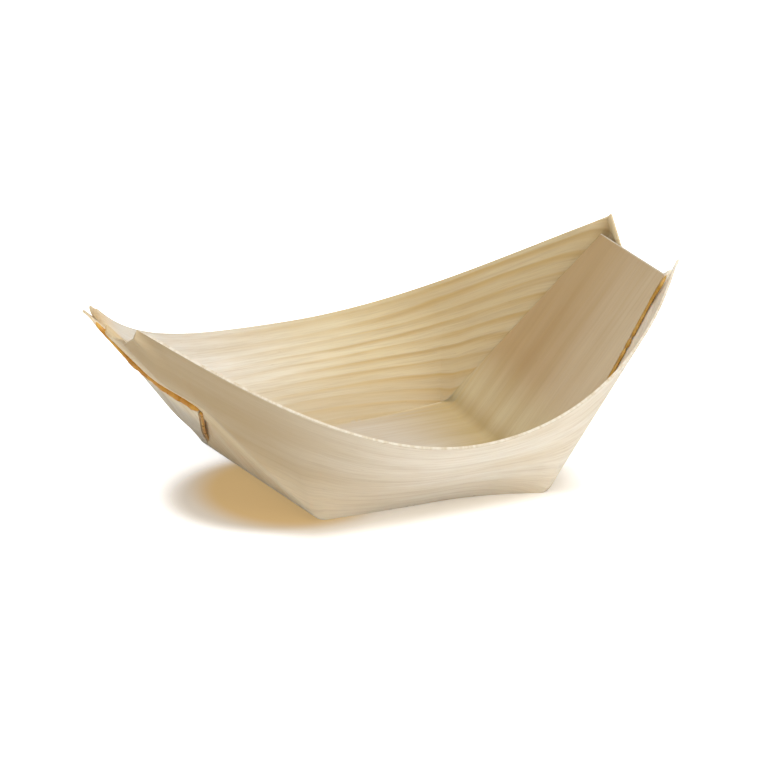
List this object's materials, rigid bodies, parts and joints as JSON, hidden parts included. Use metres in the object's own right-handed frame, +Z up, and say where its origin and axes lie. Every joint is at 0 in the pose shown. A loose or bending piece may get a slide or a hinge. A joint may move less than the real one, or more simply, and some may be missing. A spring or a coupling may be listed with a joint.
{
  "type": "wooden snack boat",
  "caption": "Folded pine veneer boat for serving snacks: flat waisted floor, flared side panels rising to both ends, and end tabs held by glued flaps.",
  "frame": {"origin": "on the table under the middle of the floor", "axes": "+X along the boat to the end on the right in the picture, +Y to the far side, +Z up"},
  "size_m": [0.1459, 0.1024, 0.0499],
  "materials": {
    "pine_veneer": "raw sliced veneer, matt with a faint satin grain",
    "hot_melt_glue": "glossy amber, slightly see-through"
  },
  "bodies": {
    "root": {"floor_panel": "pine_veneer", "near_side_panel": "pine_veneer", "far_side_panel": "pine_veneer", "right_end_tab": "pine_veneer", "right_inner_flap": "pine_veneer", "right_outer_flap": "pine_veneer", "left_end_tab": "pine_veneer", "left_inner_flap": "pine_veneer", "left_outer_flap": "pine_veneer", "right_inner_glue_film": "hot_melt_glue", "right_outer_glue_film": "hot_melt_glue", "right_tab_glue_bead": "hot_melt_glue", "right_flap_glue_bead": "hot_melt_glue", "left_inner_glue_film": "hot_melt_glue", "left_outer_glue_film": "hot_melt_glue", "left_tab_glue_bead": "hot_melt_glue", "left_flap_glue_bead": "hot_melt_glue"}
  },
  "joints": []
}
